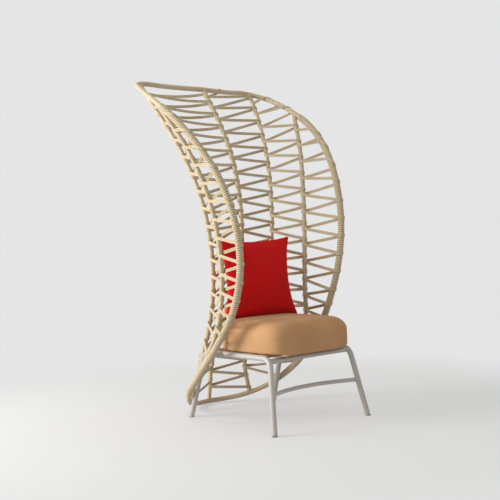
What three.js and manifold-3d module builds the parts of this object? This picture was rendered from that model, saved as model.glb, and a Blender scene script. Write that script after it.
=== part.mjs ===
// Pod chair: a tall laced cane shell on a bent steel tube base, with a box seat cushion and a
// loose throw pillow. Millimetres, +Z up, the sitter faces -Y, standing on Z = 0.
import * as THREE from "three";
import { mergeVertices } from "three/addons/utils/BufferGeometryUtils.js";
import Module from "manifold-3d";

const wasm = await Module();
wasm.setup();

// Clearances
const seatGap = 0.3; // between pieces that touch
const overrun = 30; // how far a cutting body runs past what it cuts
const weldDistance = 0.001; // points closer than this are one point
const loopRounding = 0.05; // how far apart a closed pole's first and last rings may come out

// Steel base
const footDepth = 649; // front feet to rear feet
const legTubeDiameter = 26;
const legTubeWall = 1.5;
const sideTubeHeight = 327; // middle of the straight side tubes
const sideTubeSpan = 500; // between the middles of the side tubes
const frontSplay = 46; // how far each front foot stands outside its side tube
const rearSplay = 18;
const frontCornerSetback = 63; // where leg and side tube would cross, behind the front feet
const rearCornerSetback = 540;
const legBendTangent = 46; // how much of each straight a bend takes away
const railDiameter = 22;
const railWall = 1.5;
const stretcherDiameter = 19;
const stretcherHeight = 172;
const stretcherBow = 66; // how far its middle bows back

// Foot glides
const glideDiameter = 27;
const glideHeight = 5;
const glideStem = 22; // length of the plug inside the leg

// Seat slats
const slatCount = 5;
const slatWidth = 45;
const slatThickness = 12;
const slatFrontSetback = 120; // middle of the first slat
const slatRearSetback = 490; // middle of the last slat
const slatEndInset = 8; // from the side tube's middle to the square end of a slat

// Cane shell: sizes of the middle line of the rim pole
const podSideGap = 26.3; // between a side tube and the wound rim beside it
const podDepth = 699;
const podHeight = 1647;
const podSetback = 164; // its foremost point, behind the front feet
const podFloorClearance = 3.5; // under the lowest stretch of the rim pole
const rimDiameter = 25;
const ribDiameter = 22;
const ribEndInset = 5; // from the rim's middle line to the square end of a rib, before it is coped
const wrapThickness = 4; // the cord wound round the rim's sides

// Brackets between base and shell
const spacerDiameter = 16;
const spacerSetback = 394; // behind the front feet
const clipDiameter = 14;
const clipHeight = 143;

// Lacing: flat bands of parallel cords
const bandWidth = 16;
const bandThickness = 4.6;
const hookSlack = 1; // between a band and the pole it turns round
const spineHookSlack = 1.3; // the same on the spine, where the bands slope most
const wrapHookSlack = 2; // the same where the pole is wound with cord

// Soft pieces
const cushionHalfWidth = 258;
const cushionDepth = 552;
const cushionThickness = 122;
const cushionCrown = 9; // how far the middle of the top stands above a flat top
const cushionSetback = 4; // its front edge, behind the front feet
const cushionDrawIn = 7; // how far the middles of its sides pull in
const pillowWidth = 430;
const pillowHeight = 405;
const pillowThickness = 135;
const pillowEdge = 9; // thickness along its seam
const pillowDrawIn = 22;
const pillowOffset = 5; // to the right of the middle
const pillowSetback = 405; // its middle, behind the front feet
const pillowLeanTangentShare = 0.1;
const pillowTurnTangentShare = 0.06;

// Counts
const poleSides = 8;
const legSides = 8;
const rimSteps = 126;
const wrapSteps = 40;
const ribSteps = 22;
const legSteps = 46;
const bowSteps = 12;
const roundSides = 16;
const cushionCells = 12;
const cushionWallCells = 5;
const pillowCells = 12;
const heightHalvings = 40; // steps in finding a height on a pole

// The rim pole's right half from the middle of its top to the middle of its foot. Each row gives
// its reach sideways, back and up as shares of the pod's half width, depth and height.
const rimHalfShares = [
  [0, 0.911, 0.9915],
  [0.257, 0.93, 0.992],
  [0.498, 0.973, 0.9957],
  [0.709, 1, 1],
  [0.866, 0.957, 0.9915],
  [0.957, 0.831, 0.968],
  [1, 0.644, 0.926],
  [0.995, 0.429, 0.864],
  [0.93, 0.232, 0.781],
  [0.836, 0.08, 0.678],
  [0.761, 0, 0.559],
  [0.709, 0.007, 0.4365],
  [0.695, 0.104, 0.319],
  [0.734, 0.266, 0.217],
  [0.739, 0.457, 0.1336],
  [0.684, 0.634, 0.0735],
  [0.545, 0.77, 0.0335],
  [0.36, 0.884, 0.0105],
  [0.182, 0.961, 0.002],
  [0, 0.996, 0],
];

// Ribs between their two ends on the rim, from the top down, as the same shares
const spineShares = [
  [0, 0.765, 0.904],
  [0, 0.604, 0.7735],
  [0, 0.531, 0.643],
  [0, 0.526, 0.5125],
  [0, 0.622, 0.382],
  [0, 0.798, 0.2515],
  [0, 0.94, 0.121],
];
const innerRibShares = [
  [0.739, 0.833, 0.904],
  [0.618, 0.662, 0.7735],
  [0.514, 0.559, 0.643],
  [0.448, 0.526, 0.5125],
  [0.37, 0.577, 0.382],
  [0.311, 0.694, 0.2515],
  [0.34, 0.812, 0.121],
];
const outerRibShares = [
  [0.818, 0.425, 0.7735],
  [0.693, 0.33, 0.643],
  [0.625, 0.289, 0.5125],
  [0.602, 0.289, 0.382],
  [0.65, 0.332, 0.2515],
];

// Where things sit on the rim, in rows and parts of a row down the first table
const rimRowShares = {
  waist: 12,
  spineTop: 0,
  innerRibTop: 3.62,
  innerRibFoot: 16.6,
  outerRibTop: 6.18,
  outerRibFoot: 14.1,
  wrapTop: 6.45,
  wrapFoot: 15.3,
};

// The pod is as wide as its waist needs to pass the side tubes of the base.
const frontFootSpan = sideTubeSpan + 2 * frontSplay;
const rearFootSpan = sideTubeSpan + 2 * rearSplay;
const waistHalfWidth =
  sideTubeSpan / 2 + legTubeDiameter / 2 + podSideGap + rimDiameter / 2 + wrapThickness;
const [waistShare] = rimHalfShares[rimRowShares.waist];
const podHalfWidth = waistHalfWidth / waistShare;

// Points

function heightOf(upShare) {
  return podFloorClearance + rimDiameter / 2 + upShare * podHeight;
}

function podPoint([sideShare, backShare, upShare], hand) {
  return new THREE.Vector3(
    hand * sideShare * podHalfWidth,
    podSetback + backShare * podDepth,
    heightOf(upShare),
  );
}

const rightHalf = rimHalfShares.map((row) => podPoint(row, 1));
const leftHalf = rimHalfShares.slice(1, -1).map((row) => podPoint(row, -1));
const rimCurve = new THREE.CatmullRomCurve3([...rightHalf, ...leftHalf.reverse()], true);
const rimRows = rightHalf.length + leftHalf.length;

// A stretch of another curve, from one place on it to another
class Stretch extends THREE.Curve {
  constructor(curve, from, to) {
    super();
    this.curve = curve;
    this.from = from;
    this.to = to;
  }

  getPoint(t, target = new THREE.Vector3()) {
    return this.curve.getPoint(this.from + (this.to - this.from) * t, target);
  }
}

// The right side of the rim runs down with the row count, and the left side up against it.
function rimPlace(row, hand) {
  return hand > 0 ? row / rimRows : 1 - row / rimRows;
}

function rimPoint(row, hand) {
  return rimCurve.getPoint(rimPlace(row, hand));
}

function rimStretch(fromRow, toRow, hand) {
  return new Stretch(rimCurve, rimPlace(fromRow, hand), rimPlace(toRow, hand));
}

function ribCurve(topRow, shares, footRow, hand) {
  const middle = shares.map((row) => podPoint(row, hand));
  return new THREE.CatmullRomCurve3([rimPoint(topRow, hand), ...middle, rimPoint(footRow, hand)]);
}

// Solids

function polygon(radius, sides) {
  const corners = [];
  for (let i = 0; i < sides; i++) {
    const angle = (2 * Math.PI * (i + 0.5)) / sides;
    corners.push(new THREE.Vector2(radius * Math.cos(angle), radius * Math.sin(angle)));
  }
  return corners;
}

function tube(curve, radius, sides, steps, boreRadius = 0) {
  const section = new THREE.Shape(polygon(radius, sides));
  if (boreRadius > 0) section.holes.push(new THREE.Path(polygon(boreRadius, sides)));
  return new THREE.ExtrudeGeometry(section, { steps, extrudePath: curve });
}

// A pole bent into one closed loop has walls only, and its last ring is its first one again.
function loopPole(curve, radius, sides, steps) {
  const geometry = tube(curve, radius, sides, steps);
  const [lids, wall] = geometry.groups;
  const positions = geometry.attributes.position;
  const firstRing = [];
  for (let i = 0; i < lids.count / 2; i++) {
    firstRing.push(new THREE.Vector3().fromBufferAttribute(positions, i));
  }
  const corners = [];
  for (let i = wall.start; i < wall.start + wall.count; i++) {
    const corner = new THREE.Vector3().fromBufferAttribute(positions, i);
    corners.push(firstRing.find((start) => start.distanceTo(corner) < loopRounding) ?? corner);
  }
  return new THREE.BufferGeometry().setFromPoints(corners);
}

function solidFrom(geometry) {
  const bare = geometry.index ? geometry.toNonIndexed() : geometry.clone();
  bare.deleteAttribute("normal");
  bare.deleteAttribute("uv");
  const merged = mergeVertices(bare, weldDistance);
  return new wasm.Manifold(
    new wasm.Mesh({
      numProp: 3,
      vertProperties: merged.attributes.position.array,
      triVerts: new Uint32Array(merged.index.array),
    }),
  );
}

function geometryFrom(solid) {
  const mesh = solid.getMesh();
  const geometry = new THREE.BufferGeometry();
  geometry.setAttribute("position", new THREE.BufferAttribute(mesh.vertProperties, mesh.numProp));
  geometry.setIndex(new THREE.BufferAttribute(mesh.triVerts, 1));
  return geometry;
}

function cut(geometry, ...cutters) {
  const left = cutters.reduce((solid, cutter) => solid.subtract(solidFrom(cutter)), solidFrom(geometry));
  return geometryFrom(left);
}

function join(first, second) {
  return geometryFrom(solidFrom(first).add(solidFrom(second)));
}

function rod(from, to, radius, sides) {
  const along = to.clone().sub(from);
  const turn = new THREE.Quaternion().setFromUnitVectors(
    new THREE.Vector3(0, 1, 0),
    along.clone().normalize(),
  );
  const middle = from.clone().add(to).divideScalar(2);
  return new THREE.CylinderGeometry(radius, radius, along.length(), sides)
    .applyQuaternion(turn)
    .translate(middle.x, middle.y, middle.z);
}

// Materials

function material(color, roughness, metalness) {
  return new THREE.MeshStandardMaterial({ color, roughness, metalness });
}

const chair = new THREE.Group();

function add(name, geometry, finish) {
  geometry.computeVertexNormals();
  const mesh = new THREE.Mesh(geometry, finish());
  mesh.name = name;
  chair.add(mesh);
}

const paintedSteel = () => material(0xbcb6ae, 0.5, 0.3);
const glideRubber = () => material(0x9a958e, 0.7, 0);
const slatWood = () => material(0xb08d62, 0.7, 0);
const cane = () => material(0xbca47c, 0.6, 0);
const cord = () => material(0xd2c09a, 0.8, 0);
const seatFabric = () => material(0xc4946a, 0.95, 0);
const pillowFabric = () => material(0xa8181c, 0.95, 0);

const hands = { left: -1, right: 1 };

// Steel base

const legRadius = legTubeDiameter / 2;
const legBore = legRadius - legTubeWall;

function cornersOf(hand) {
  return {
    frontFoot: new THREE.Vector3((hand * frontFootSpan) / 2, 0, 0),
    frontCorner: new THREE.Vector3((hand * sideTubeSpan) / 2, frontCornerSetback, sideTubeHeight),
    rearCorner: new THREE.Vector3((hand * sideTubeSpan) / 2, rearCornerSetback, sideTubeHeight),
    rearFoot: new THREE.Vector3((hand * rearFootSpan) / 2, footDepth, 0),
  };
}

function towards(from, to, distance) {
  return to.clone().sub(from).setLength(distance).add(from);
}

function bendAt(corner, before, after) {
  const start = towards(corner, before, legBendTangent);
  const end = towards(corner, after, legBendTangent);
  return new THREE.QuadraticBezierCurve3(start, corner, end);
}

function sideFramePath(hand) {
  const { frontFoot, frontCorner, rearCorner, rearFoot } = cornersOf(hand);
  const frontBend = bendAt(frontCorner, frontFoot, rearCorner);
  const rearBend = bendAt(rearCorner, frontCorner, rearFoot);
  const path = new THREE.CurvePath();
  path.add(new THREE.LineCurve3(towards(frontFoot, frontCorner, -overrun), frontBend.v0));
  path.add(frontBend);
  path.add(new THREE.LineCurve3(frontBend.v2, rearBend.v0));
  path.add(rearBend);
  path.add(new THREE.LineCurve3(rearBend.v2, towards(rearFoot, rearCorner, -overrun)));
  return { path, frontBend, rearBend };
}

// Everything under the feet, up to a height
function blockBelow(height) {
  const block = new THREE.BoxGeometry(2 * frontFootSpan, 2 * (footDepth + overrun), 4 * overrun);
  return block.translate(0, footDepth / 2, height - 2 * overrun);
}

function frameEnvelope(hand) {
  return tube(sideFramePath(hand).path, legRadius + seatGap, legSides, legSteps);
}

for (const [side, hand] of Object.entries(hands)) {
  const { path } = sideFramePath(hand);
  const bentTube = tube(path, legRadius, legSides, legSteps, legBore);
  add(`side_frame_${side}`, cut(bentTube, blockBelow(glideHeight + seatGap)), paintedSteel);

  const corners = cornersOf(hand);
  const legs = {
    front: [corners.frontFoot, corners.frontCorner],
    rear: [corners.rearFoot, corners.rearCorner],
  };
  for (const [end, [foot, corner]] of Object.entries(legs)) {
    const disc = new THREE.CylinderGeometry(glideDiameter / 2, glideDiameter / 2, glideHeight, roundSides)
      .rotateX(Math.PI / 2)
      .translate(foot.x, foot.y, glideHeight / 2);
    const plugRadius = (legBore - seatGap) * Math.cos(Math.PI / legSides);
    const plug = rod(
      towards(foot, corner, -glideHeight),
      towards(foot, corner, glideStem),
      plugRadius,
      legSides,
    );
    const stem = cut(plug, blockBelow(glideHeight / 2));
    add(`foot_glide_${end}_${side}`, join(disc, stem), glideRubber);
  }
}

function railBetween(pointOf, radius, wall) {
  const ends = new THREE.LineCurve3(pointOf(hands.left), pointOf(hands.right));
  const rail = tube(ends, radius, legSides, 1, radius - wall);
  return cut(rail, frameEnvelope(hands.left), frameEnvelope(hands.right));
}

const frontSeat = (hand) => sideFramePath(hand).frontBend.getPoint(0.5);
const rearSeat = (hand) => sideFramePath(hand).rearBend.getPoint(0.5);
add("front_rail", railBetween(frontSeat, railDiameter / 2, railWall), paintedSteel);
add("rear_rail", railBetween(rearSeat, railDiameter / 2, railWall), paintedSteel);

// The stretcher bows back between the front legs.
function stretcherEnd(hand) {
  const { frontFoot, frontCorner } = cornersOf(hand);
  return frontFoot.clone().lerp(frontCorner, stretcherHeight / sideTubeHeight);
}

const stretcherMiddle = stretcherEnd(hands.left).lerp(stretcherEnd(hands.right), 0.5);
stretcherMiddle.y += 2 * stretcherBow;
const stretcherCurve = new THREE.QuadraticBezierCurve3(
  stretcherEnd(hands.left),
  stretcherMiddle,
  stretcherEnd(hands.right),
);
add(
  "front_stretcher",
  cut(
    tube(stretcherCurve, stretcherDiameter / 2, poleSides, bowSteps),
    frameEnvelope(hands.left),
    frameEnvelope(hands.right),
  ),
  paintedSteel,
);

// Seat slats, flush with the tops of the side tubes and coped to them
const seatTop = sideTubeHeight + legRadius;
const slatStep = (slatRearSetback - slatFrontSetback) / (slatCount - 1);
for (let i = 0; i < slatCount; i++) {
  const slat = new THREE.BoxGeometry(sideTubeSpan - 2 * slatEndInset, slatWidth, slatThickness).translate(
    0,
    slatFrontSetback + i * slatStep,
    seatTop - slatThickness / 2,
  );
  add(`seat_slat_${i + 1}`, cut(slat, frameEnvelope(hands.left), frameEnvelope(hands.right)), slatWood);
}

// Cane shell

const rimRadius = rimDiameter / 2;
const ribRadius = ribDiameter / 2;
const wrapRadius = rimRadius + wrapThickness;

add("rim_pole", loopPole(rimCurve, rimRadius, poleSides, rimSteps), cane);
const rimEnvelope = loopPole(rimCurve, rimRadius + seatGap, poleSides, rimSteps);

function wrapCurve(hand) {
  return rimStretch(rimRowShares.wrapTop, rimRowShares.wrapFoot, hand);
}

function wrapEnvelope(hand) {
  return tube(wrapCurve(hand), wrapRadius + seatGap, poleSides, wrapSteps);
}

for (const [side, hand] of Object.entries(hands)) {
  const sleeve = tube(wrapCurve(hand), wrapRadius, poleSides, wrapSteps);
  add(`rim_wrap_${side}`, cut(sleeve, rimEnvelope), cord);
}

const { spineTop, innerRibTop, innerRibFoot, outerRibTop, outerRibFoot } = rimRowShares;
const ribs = {
  spine: ribCurve(spineTop, spineShares, rimRows / 2, hands.right),
};
for (const [side, hand] of Object.entries(hands)) {
  ribs[`inner_${side}`] = ribCurve(innerRibTop, innerRibShares, innerRibFoot, hand);
  ribs[`outer_${side}`] = ribCurve(outerRibTop, outerRibShares, outerRibFoot, hand);
}
for (const [name, curve] of Object.entries(ribs)) {
  const inset = ribEndInset / curve.getLength();
  const pole = tube(new Stretch(curve, inset, 1 - inset), ribRadius, poleSides, ribSteps);
  add(`${name}_rib`, cut(pole, rimEnvelope, wrapEnvelope(hands.left), wrapEnvelope(hands.right)), cane);
}

// Brackets: a spacer from each side tube to the rim, and a clip from each rear leg to the rim

function nearestOnCurve(curve, distanceTo, samples) {
  let best = null;
  for (let i = 0; i <= samples; i++) {
    const point = curve.getPoint(i / samples);
    const distance = distanceTo(point);
    if (!best || distance < best.distance) best = { point, distance };
  }
  return best.point;
}

const bracketSamples = 2000;
for (const [side, hand] of Object.entries(hands)) {
  const cutters = [frameEnvelope(hand), wrapEnvelope(hand), rimEnvelope];
  const { rearCorner, rearFoot } = cornersOf(hand);
  const onTube = new THREE.Vector3((hand * sideTubeSpan) / 2, spacerSetback, sideTubeHeight);
  const onRim = nearestOnCurve(wrapCurve(hand), (point) => point.distanceTo(onTube), bracketSamples);
  const spacer = rod(onTube, onRim, spacerDiameter / 2, roundSides);
  add(`shell_spacer_${side}`, cut(spacer, ...cutters), paintedSteel);

  const onLeg = rearFoot.clone().lerp(rearCorner, clipHeight / sideTubeHeight);
  const onFoot = nearestOnCurve(wrapCurve(hand), (point) => point.distanceTo(onLeg), bracketSamples);
  const clip = rod(onLeg, onFoot, clipDiameter / 2, roundSides);
  add(`leg_clip_${side}`, cut(clip, ...cutters), paintedSteel);
}

// Lacing. One band winds down round each pair of poles: to the right in front of them, round the
// right pole, back to the left behind them and round the left pole. Shares of a hook's reach place
// its corners.
const hookInsetShare = 0.6;
const hookTipShare = 1.15;

function rail(curve, radius, slack = hookSlack) {
  return { curve, reach: radius + slack + bandThickness / 2 };
}

// How far down a pole it passes a height, as a share of its length
function shareAt(curve, height) {
  let low = 0;
  let high = 1;
  for (let i = 0; i < heightHalvings; i++) {
    const middle = (low + high) / 2;
    if (curve.getPointAt(middle).z > height) low = middle;
    else high = middle;
  }
  return low;
}

// A hook's first corner is in front of a right pole, and behind a left one. All three are level.
function hookAt({ rail, share }, point, before, after) {
  const up = rail.curve.getTangentAt(share).negate();
  const away = point.clone().sub(before.clone().lerp(after, 0.5));
  away.addScaledVector(up, -away.dot(up)).normalize();
  const first = new THREE.Vector3().crossVectors(away, up);
  const place = (out, forward) => {
    const corner = point
      .clone()
      .addScaledVector(away, out * rail.reach)
      .addScaledVector(first, forward * rail.reach);
    return corner.addScaledVector(up, (point.z - corner.z) / up.z);
  };
  return [
    { point: place(hookInsetShare, 1), up },
    { point: place(hookTipShare, 0), up },
    { point: place(hookInsetShare, -1), up },
  ];
}

// A flat band through the given places: its width runs up each pole, its thickness is mitred.
function bandThrough(places) {
  const sideNormal = (from, to, up) =>
    new THREE.Vector3().subVectors(to.point, from.point).cross(up).normalize();
  const corners = [];
  places.forEach((place, i) => {
    const before = i > 0 ? sideNormal(places[i - 1], place, place.up) : null;
    const after = i < places.length - 1 ? sideNormal(place, places[i + 1], place.up) : null;
    const first = before ?? after;
    const second = after ?? before;
    const mitre = first.clone().add(second).divideScalar(1 + first.dot(second));
    for (const [wide, thick] of [[-1, -1], [1, -1], [1, 1], [-1, 1]]) {
      const corner = place.point.clone().addScaledVector(place.up, (wide * bandWidth) / 2);
      corners.push(corner.addScaledVector(mitre, (thick * bandThickness) / 2));
    }
  });
  const faces = [0, 2, 1, 0, 3, 2];
  for (let ring = 0; ring < places.length - 1; ring++) {
    for (let i = 0; i < 4; i++) {
      const a = 4 * ring + i;
      const b = 4 * ring + ((i + 1) % 4);
      faces.push(a, b, b + 4, a, b + 4, a + 4);
    }
  }
  const last = 4 * (places.length - 1);
  faces.push(last, last + 1, last + 2, last, last + 2, last + 3);
  const geometry = new THREE.BufferGeometry().setFromPoints(corners);
  geometry.setIndex(faces);
  return geometry;
}

function lacing(left, right, leftShares, rightShares) {
  const turns = leftShares.flatMap((leftShare, k) => [
    { rail: left, height: heightOf(leftShare) },
    { rail: right, height: heightOf(rightShares[k]) },
  ]);
  for (const turn of turns) turn.share = shareAt(turn.rail.curve, turn.height);
  const points = turns.map(({ rail, share }) => rail.curve.getPointAt(share));
  const hooks = turns.map((turn, i) =>
    hookAt(turn, points[i], points[i - 1] ?? points[i + 1], points[i + 1] ?? points[i - 1]),
  );
  return bandThrough(hooks.flat());
}

const rimRail = (hand) =>
  rail(rimStretch(outerRibTop, outerRibFoot, hand), wrapRadius, wrapHookSlack);
const rails = {
  rim_left: rimRail(hands.left),
  outer_left: rail(ribs.outer_left, ribRadius),
  inner_left: rail(ribs.inner_left, ribRadius),
  spine: rail(ribs.spine, ribRadius, spineHookSlack),
  inner_right: rail(ribs.inner_right, ribRadius),
  outer_right: rail(ribs.outer_right, ribRadius),
  rim_right: rimRail(hands.right),
};

// Each column of lacing: its poles, and how high it turns round each of them from the top down, as
// shares of the pod's height. A turn on the left pole leads to the one beside it in the right list.
const columns = [
  {
    name: "lacing_side_left",
    left: "rim_left",
    right: "outer_left",
    leftShares: [
      0.871, 0.818, 0.766, 0.715, 0.661, 0.611, 0.556, 0.5, 0.449, 0.397, 0.347, 0.297, 0.248,
    ],
    rightShares: [
      0.832, 0.781, 0.73, 0.679, 0.628, 0.576, 0.524, 0.474, 0.421, 0.37, 0.321, 0.27, 0.219,
    ],
  },
  {
    name: "lacing_middle_left",
    left: "outer_left",
    right: "inner_left",
    leftShares: [
      0.851, 0.8, 0.75, 0.699, 0.649, 0.599, 0.548, 0.498, 0.447, 0.397, 0.347, 0.296, 0.245,
    ],
    rightShares: [
      0.818, 0.768, 0.718, 0.664, 0.614, 0.561, 0.512, 0.463, 0.413, 0.363, 0.315, 0.268, 0.214,
    ],
  },
  {
    name: "lacing_back_left",
    left: "inner_left",
    right: "spine",
    leftShares: [
      0.965, 0.928, 0.894, 0.852, 0.802, 0.751, 0.701, 0.648, 0.597, 0.545, 0.496, 0.446, 0.395, 0.345,
      0.297, 0.246, 0.196, 0.145, 0.095, 0.044,
    ],
    rightShares: [
      0.946, 0.905, 0.865, 0.823, 0.781, 0.737, 0.69, 0.646, 0.599, 0.556, 0.511, 0.463, 0.415, 0.37,
      0.322, 0.273, 0.223, 0.166, 0.116, 0.066,
    ],
  },
  {
    name: "lacing_back_right",
    left: "spine",
    right: "inner_right",
    leftShares: [
      0.927, 0.886, 0.844, 0.801, 0.761, 0.715, 0.672, 0.629, 0.582, 0.538, 0.492, 0.444, 0.396, 0.348,
      0.299, 0.249, 0.199, 0.148, 0.098, 0.048,
    ],
    rightShares: [
      0.944, 0.896, 0.848, 0.8, 0.752, 0.703, 0.655, 0.607, 0.559, 0.511, 0.463, 0.415, 0.367, 0.319,
      0.271, 0.223, 0.175, 0.127, 0.078, 0.035,
    ],
  },
  {
    name: "lacing_middle_right",
    left: "inner_right",
    right: "outer_right",
    leftShares: [
      0.876, 0.826, 0.778, 0.73, 0.682, 0.634, 0.585, 0.537, 0.488, 0.441, 0.393, 0.345, 0.298, 0.25,
    ],
    rightShares: [
      0.869, 0.817, 0.766, 0.713, 0.659, 0.608, 0.556, 0.505, 0.456, 0.408, 0.356, 0.305, 0.255, 0.206,
    ],
  },
  {
    name: "lacing_side_right",
    left: "outer_right",
    right: "rim_right",
    leftShares: [
      0.855, 0.802, 0.749, 0.696, 0.644, 0.591, 0.54, 0.491, 0.438, 0.386, 0.336, 0.29, 0.24,
    ],
    rightShares: [
      0.837, 0.792, 0.734, 0.678, 0.619, 0.565, 0.512, 0.46, 0.407, 0.352, 0.308, 0.267, 0.224,
    ],
  },
];
for (const { name, left, right, leftShares, rightShares } of columns) {
  add(name, lacing(rails[left], rails[right], leftShares, rightShares), cord);
}

// Soft pieces, each a lattice of points on a unit cube that is rounded and crowned

function lattice(wide, deep, high, shape) {
  const box = new THREE.BoxGeometry(2, 2, 2, wide, deep, high);
  box.deleteAttribute("normal");
  box.deleteAttribute("uv");
  const geometry = mergeVertices(box);
  const points = geometry.attributes.position;
  const point = new THREE.Vector3();
  for (let i = 0; i < points.count; i++) {
    point.fromBufferAttribute(points, i);
    shape(point);
    points.setXYZ(i, point.x, point.y, point.z);
  }
  return geometry;
}

// Lattice lines gather towards the edges, where the form turns quickly.
function gathered(value) {
  return Math.sin((Math.PI / 2) * value);
}

const cushionRoundnessShare = 5;
const cushionTaperShare = 0.6; // how much narrower the back of the seat is than its front
const cushionTaperStartShare = 0.1;

function cushionPoint(point) {
  point.set(gathered(point.x), gathered(point.y), point.z);
  const norm =
    Math.abs(point.x) ** cushionRoundnessShare +
    Math.abs(point.y) ** cushionRoundnessShare +
    Math.abs(point.z) ** cushionRoundnessShare;
  point.divideScalar(norm ** (1 / cushionRoundnessShare));
  const { x, y, z } = point;
  const middle = (1 - x * x) * (1 - y * y);
  const back = Math.max(0, (y - cushionTaperStartShare) / (1 - cushionTaperStartShare));
  const taper = 1 - cushionTaperShare * back * back * back;
  const bulge = 1 - z * z;
  const drawIn = cushionDrawIn * (1 - y * y) * bulge;
  const crown = z > 0 ? cushionCrown * middle * z : 0;
  point.x = (cushionHalfWidth - drawIn * Math.abs(x)) * x * taper;
  point.y = cushionSetback + (cushionDepth / 2) * (1 + y);
  point.z = seatTop + seatGap + (cushionThickness / 2) * (1 + z) + crown;
}

add("seat_cushion", lattice(cushionCells, cushionCells, cushionWallCells, cushionPoint), seatFabric);

const pillowPlaceShare = (2 * (pillowSetback - cushionSetback)) / cushionDepth - 1;
const crownThere = cushionCrown * (1 - pillowPlaceShare * pillowPlaceShare);
const pillowBase = seatTop + seatGap + cushionThickness + crownThere + seatGap;
const pillowFullnessShare = 0.55;

function pillowPoint(point) {
  const x = gathered(point.x);
  const y = gathered(point.y);
  const full = ((1 - x * x) * (1 - y * y)) ** pillowFullnessShare;
  const wide = (pillowWidth / 2) * x - pillowDrawIn * x * (1 - y * y);
  const high = (pillowHeight / 2) * y - pillowDrawIn * Math.max(0, y) * (1 - x * x);
  const thick = (point.z * (pillowEdge + (pillowThickness - pillowEdge) * full)) / 2;
  point.set(wide, -thick, pillowHeight / 2 + high);
}

const pillow = lattice(pillowCells, pillowCells, 1, pillowPoint)
  .rotateX(-Math.atan(pillowLeanTangentShare))
  .rotateZ(-Math.atan(pillowTurnTangentShare))
  .translate(pillowOffset, pillowSetback, pillowBase);
add("throw_pillow", pillow, pillowFabric);

// The origin is on the floor, under the middle of the chair's box.
const bounds = new THREE.Box3().setFromObject(chair);
chair.position.y = -(bounds.min.y + bounds.max.y) / 2;

export default chair;
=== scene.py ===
# %% [markdown]
# # A laced pod chair
# A tall shell of bent cane stands round a seat on a bent steel tube base. Cord winds
# round the shell's edge and zigzags between its ribs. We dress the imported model: it
# gives every place and size, and each cell below makes one kind of piece or one finish.

import math

import bmesh
import bpy
from mathutils import Matrix, Vector, noise
from mathutils.geometry import intersect_point_line


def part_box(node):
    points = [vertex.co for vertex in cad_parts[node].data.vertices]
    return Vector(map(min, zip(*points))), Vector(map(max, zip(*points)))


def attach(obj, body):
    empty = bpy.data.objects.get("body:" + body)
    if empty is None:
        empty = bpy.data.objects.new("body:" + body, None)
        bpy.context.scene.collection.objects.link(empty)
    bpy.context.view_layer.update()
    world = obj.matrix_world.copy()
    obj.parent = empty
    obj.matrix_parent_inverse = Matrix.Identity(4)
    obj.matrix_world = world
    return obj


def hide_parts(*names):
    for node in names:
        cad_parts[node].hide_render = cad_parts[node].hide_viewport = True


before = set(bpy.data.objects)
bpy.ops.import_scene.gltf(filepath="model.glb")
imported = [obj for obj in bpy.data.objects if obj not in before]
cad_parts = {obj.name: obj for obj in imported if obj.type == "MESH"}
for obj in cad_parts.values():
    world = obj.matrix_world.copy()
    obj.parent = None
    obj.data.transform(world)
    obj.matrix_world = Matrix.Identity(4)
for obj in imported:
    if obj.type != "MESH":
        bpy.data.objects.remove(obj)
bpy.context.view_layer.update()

# %% [markdown]
# ## Measures
# The model was drawn in millimetres with depth counted back from the line of the front
# feet. Working in the same measures keeps every piece on its solid, so one helper turns
# such a place into metres about the chair's middle. Another way would be to measure the
# solids' boxes, but a bent pole's box says little about its bend.

# %% Places in the chair's own measures
FRONT_FEET = 430.69  # from the line of the front feet back to the chair's middle


def mm(x, y, z):
    return Vector((x, y - FRONT_FEET, z)) / 1000


SIDES = {"left": -1, "right": 1}
glide_low, glide_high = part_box("foot_glide_front_left")
print("front left glide:", [round(v, 4) for v in (glide_low + glide_high) / 2])

# %% [markdown]
# ## Curves through points
# The shell's poles were drawn as smooth curves through a few points. The same curve
# rule, a centripetal Catmull-Rom spline, is repeated here, so that the round poles lie
# exactly in the faceted ones. A Bezier curve would bulge differently between the
# points.


# %% A smooth curve through points
def spline_at(points, place, closed=False):
    count = len(points)
    row = math.floor(place)
    part = place - row
    if closed:
        row %= count
    elif row >= count - 1:
        row, part = count - 2, 1.0
    b, c = points[row], points[(row + 1) % count]
    a = points[row - 1] if closed or row > 0 else 2 * b - c
    d = points[(row + 2) % count] if closed or row + 2 < count else 2 * c - b
    ab, bc, cd = ((q - p).length ** 0.5 for p, q in ((a, b), (b, c), (c, d)))
    leave = ((b - a) / ab - (c - a) / (ab + bc) + (c - b) / bc) * bc
    arrive = ((c - b) / bc - (d - b) / (bc + cd) + (d - c) / cd) * bc
    bend = 3 * (c - b) - 2 * leave - arrive
    turn = 2 * (b - c) + leave + arrive
    return b + leave * part + bend * part**2 + turn * part**3


def spline(points, first, last, steps, closed=False):
    return [
        spline_at(points, first + (last - first) * i / steps, closed)
        for i in range(steps + 1)
    ]


# %% Even steps along a path
class Path:
    """A dense path that can be asked for the place at a distance along it."""

    def __init__(self, points):
        self.points = points
        self.marks = [0.0]
        for p, q in zip(points, points[1:]):
            self.marks.append(self.marks[-1] + (q - p).length)
        self.length = self.marks[-1]
        self.cursor = 1

    def at(self, distance):
        distance = min(max(distance, 0.0), self.length)
        while self.cursor > 1 and self.marks[self.cursor - 1] > distance:
            self.cursor -= 1
        while self.cursor < len(self.marks) - 1 and self.marks[self.cursor] < distance:
            self.cursor += 1
        low, high = self.marks[self.cursor - 1], self.marks[self.cursor]
        p, q = self.points[self.cursor - 1], self.points[self.cursor]
        return p.lerp(q, (distance - low) / (high - low))

    def direction(self, distance, reach=0.004):
        ahead = self.at(min(distance + reach, self.length))
        return (ahead - self.at(max(distance - reach, 0.0))).normalized()

    def even(self, step):
        count = max(2, round(self.length / step))
        return [self.at(self.length * i / count) for i in range(count + 1)]


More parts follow.
